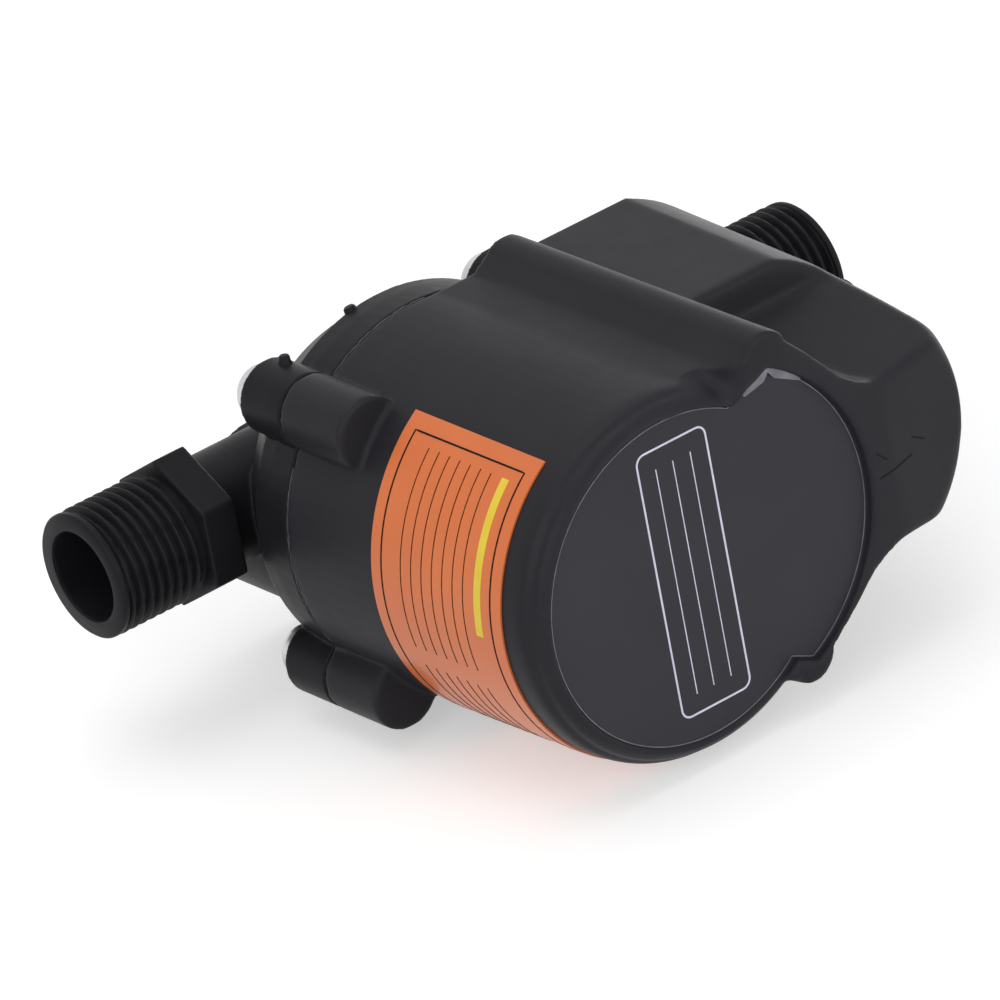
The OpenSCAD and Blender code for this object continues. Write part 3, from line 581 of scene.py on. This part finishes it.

# A thin pale band round the face label's outline: a painted highlight along the film's edge
rim = {(round(v.co.x / MM - AXIS_X, 3), round(v.co.z / MM, 3))
       for v in frame["nodes"]["face_label"].data.vertices}
rim = sorted(rim, key=lambda p: math.atan2(p[1] - 1.0, p[0] - 5.0))
piece("face_label_edge_highlight", *print_and_highlight_band([(a * 0.9975, b * 0.9975) for a, b in rim], 0.14, on_face), "pump",
      "face_film", "film_edge")


def lifted_corner():
    """The corner of the label's film that has come unstuck, as a thin curled flap."""
    ridge = [(15.1, 24.0, 0.1), (17.2, 25.5, 0.35), (19.3, 26.5, 0.6), (22.0, 27.0, 0.75), (24.6, 25.2, 0.5),
             (27.0, 22.2, 0.1)]
    foot = [(16.0, 23.4, 0.06), (18.4, 23.9, 0.1), (19.8, 24.3, 0.2), (20.6, 25.6, 0.45), (21.8, 24.0, 0.1),
            (26.4, 21.6, 0.04)]
    verts = [on_face(a, b, h + t) for t in (0.0, 0.06) for line in (ridge, foot) for a, b, h in line]
    n = len(ridge)
    faces = []
    for i in range(n - 1):
        faces += [(i, i + 1, n + i + 1, n + i), (2 * n + i, 3 * n + i, 3 * n + i + 1, 2 * n + i + 1),
                  (i, 2 * n + i, 2 * n + i + 1, i + 1), (n + i, n + i + 1, 3 * n + i + 1, 3 * n + i)]
    faces += [(0, n, 3 * n, 2 * n), (n - 1, 3 * n - 1, 4 * n - 1, 2 * n - 1)]
    return verts, faces


piece("face_label_flap", *lifted_corner(), "pump", "face_film", "film_edge")


def on_nose(a, b, h):
    return at(a, max(0.0, (a - 39.8) / 20.0 * 3.4) - h, b)


strokes = [[(36.9, 0.7), (44.0, 1.6)], [(37.0, 4.9), (38.7, 3.2)], [(44.6, 4.3), (47.2, 2.7)]]
marks = []
for (a0, b0), (a1, b1) in strokes:
    line = [(a0 + (a1 - a0) * i / 6, b0 + (b1 - b0) * i / 6) for i in range(7)]
    marks.append(print_and_highlight_band(line, 0.22, on_nose, closed=False, thick=0.06))
piece("nose_arrow_strokes", *joined(marks), "pump", "housing_plastic", "print_dark")

side_lines = []
low, high, front, back = 129.0, 270.0, 11.2, 36.9
corners = [(low, front), (high, front), (high, back), (low, back)]
ring = []
for i, (a, b) in enumerate(corners):
    a2, b2 = corners[(i + 1) % 4]
    ring += [(a + (a2 - a) * j / 40, b + (b2 - b) * j / 40) for j in range(40)]


def on_side_flat(a, b, h):
    return on_side(math.degrees(a / SHELL_R), b, h)


def side_print(points, width, closed=False):
    """A printed line on the shell, equally wide in both directions, from points in degrees and depth."""
    return print_and_highlight_band([(math.radians(a) * SHELL_R, b) for a, b in points], width, on_side_flat, closed=closed)


side_lines.append(side_print(ring, 0.3, closed=True))
for k in range(7):
    b = 17.6 + 2.45 * k
    line = [(132.5 + 60.5 * i / 30, b) for i in range(31)]
    side_lines.append(side_print(line, 0.14))
    line = [(200.0 + 66.0 * i / 30, b) for i in range(31)]
    side_lines.append(side_print(line, 0.14))
piece("side_label_print", *joined(side_lines), "pump", "side_film", "print_dark")
band = [(132.5 + 47.0 * i / 60, 14.2) for i in range(61)]
piece("side_label_band", *side_print(band, 1.6), "pump", "side_film", "print_yellow")

# Stage
floor_z = cad_box[0].z - 0.0002
bpy.ops.mesh.primitive_plane_add(size=12.0, location=(0.05, 0.0, floor_z))
floor = bpy.context.object
floor.name = "floor"


def stage_material():
    """A pale floor: shaded by the lamps, and lifted to white where only the camera looks."""
    mat = bpy.data.materials.new("floor")
    mat.use_nodes = True
    nodes, links = mat.node_tree.nodes, mat.node_tree.links
    shader = nodes["Principled BSDF"]
    shader.inputs["Base Color"].default_value = (0.72, 0.72, 0.72, 1)
    shader.inputs["Roughness"].default_value = 0.9
    path = nodes.new("ShaderNodeLightPath")
    both = nodes.new("ShaderNodeMath")
    both.operation = "MAXIMUM"
    links.new(path.outputs["Is Camera Ray"], both.inputs[0])
    links.new(path.outputs["Is Glossy Ray"], both.inputs[1])
    glow = nodes.new("ShaderNodeMath")
    glow.operation = "MULTIPLY"
    glow.inputs[1].default_value = 0.46
    links.new(both.outputs[0], glow.inputs[0])
    shader.inputs["Emission Color"].default_value = (1, 1, 1, 1)
    links.new(glow.outputs[0], shader.inputs["Emission Strength"])
    return mat


floor.data.materials.append(stage_material())

world = bpy.data.worlds.new("world")
bpy.context.scene.world = world
world.use_nodes = True
tree = world.node_tree
background = tree.nodes["Background"]
path = tree.nodes.new("ShaderNodeLightPath")
lens = tree.nodes.new("ShaderNodeMath")
lens.operation = "MAXIMUM"
tree.links.new(path.outputs["Is Camera Ray"], lens.inputs[0])
tree.links.new(path.outputs["Is Transmission Ray"], lens.inputs[1])
seen = tree.nodes.new("ShaderNodeMath")
seen.operation = "MAXIMUM"
tree.links.new(lens.outputs[0], seen.inputs[0])
tree.links.new(path.outputs["Is Glossy Ray"], seen.inputs[1])
level = tree.nodes.new("ShaderNodeMapRange")
level.inputs["To Min"].default_value = 0.42
level.inputs["To Max"].default_value = 1.0
tree.links.new(seen.outputs[0], level.inputs["Value"])
tree.links.new(level.outputs["Result"], background.inputs["Strength"])
background.inputs["Color"].default_value = (1, 1, 1, 1)


def softbox(name, place_at, aim, size, power):
    lamp = bpy.data.lights.new(name, "AREA")
    lamp.size = size
    lamp.energy = power
    obj = bpy.data.objects.new(name, lamp)
    obj.location = place_at
    obj.rotation_euler = (Vector(aim) - Vector(place_at)).to_track_quat("-Z", "Y").to_euler()
    bpy.context.scene.collection.objects.link(obj)


MIDDLE = (0.06, -0.04, 0.0)
softbox("overhead", (-0.1, 0.1, 1.3), MIDDLE, 1.1, 5.5)
softbox("front_left", (-1.0, -0.7, 0.6), MIDDLE, 0.9, 4.6)
softbox("front", (0.35, -1.3, 0.3), MIDDLE, 0.9, 6.4)
softbox("right_rim", (1.1, 0.5, 0.12), MIDDLE, 0.6, 3.0)
